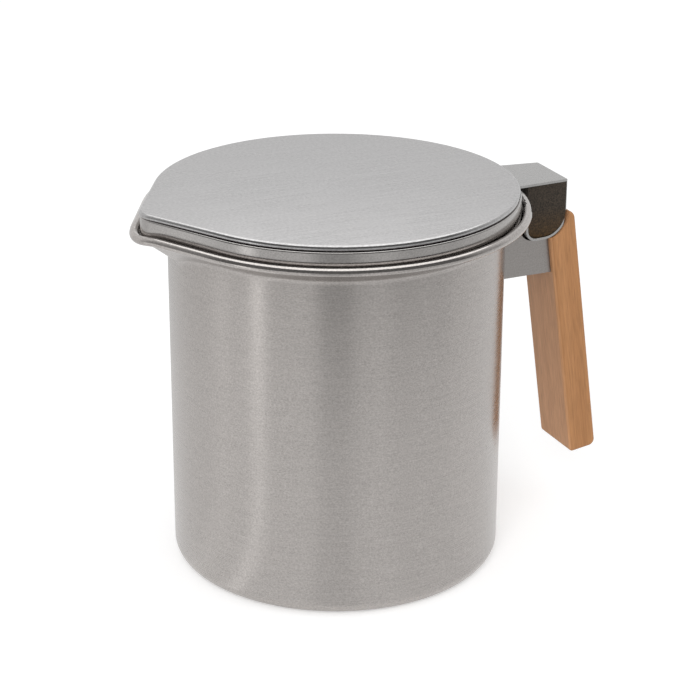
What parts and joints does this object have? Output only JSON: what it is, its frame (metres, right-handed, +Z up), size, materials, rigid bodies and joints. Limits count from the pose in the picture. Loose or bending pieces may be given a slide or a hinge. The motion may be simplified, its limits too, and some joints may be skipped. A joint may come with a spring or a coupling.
{
  "type": "bacon grease container",
  "caption": "Round steel grease pot with a pouring spout, wooden side handle, lift-out mesh strainer and lift-off lid with a lifting loop.",
  "frame": {"origin": "centre of the underside of the base, on the axis of the round pot", "axes": "+X from the pot's axis towards the handle, -X towards the spout, +Z up"},
  "size_m": [0.1808, 0.1386, 0.1395],
  "materials": {
    "pot_steel": "fine satin",
    "bracket_steel": "satin",
    "handle_wood": "oiled beech, smooth",
    "fastener_steel": "bright",
    "strainer_steel": "bright satin",
    "mesh_steel": "fine woven wire",
    "lid_steel": "matt top, polished hem",
    "loop_steel": "satin with polished edges",
    "loop_core": "dark brown-black, matt"
  },
  "bodies": {
    "pot": {"pot_body": "pot_steel", "handle_bracket": "bracket_steel", "wood_handle": "handle_wood", "handle_screws": "fastener_steel", "handle_nuts": "fastener_steel"},
    "strainer": {"strainer_cup": "strainer_steel", "strainer_mesh": "mesh_steel", "mesh_ring": "strainer_steel"},
    "lid": {"lid_cover": "lid_steel", "lid_skirt": "lid_steel", "lid_loop": "loop_steel", "loop_core": "loop_core"}
  },
  "joints": [
    {"name": "strainer_lift", "type": "slide", "parent": "pot", "child": "strainer", "axis": [0, 0, 1], "range_m": [0, 0.05]},
    {"name": "lid_lift", "type": "slide", "parent": "strainer", "child": "lid", "axis": [0, 0, 1], "range_m": [0, 0.06]}
  ]
}
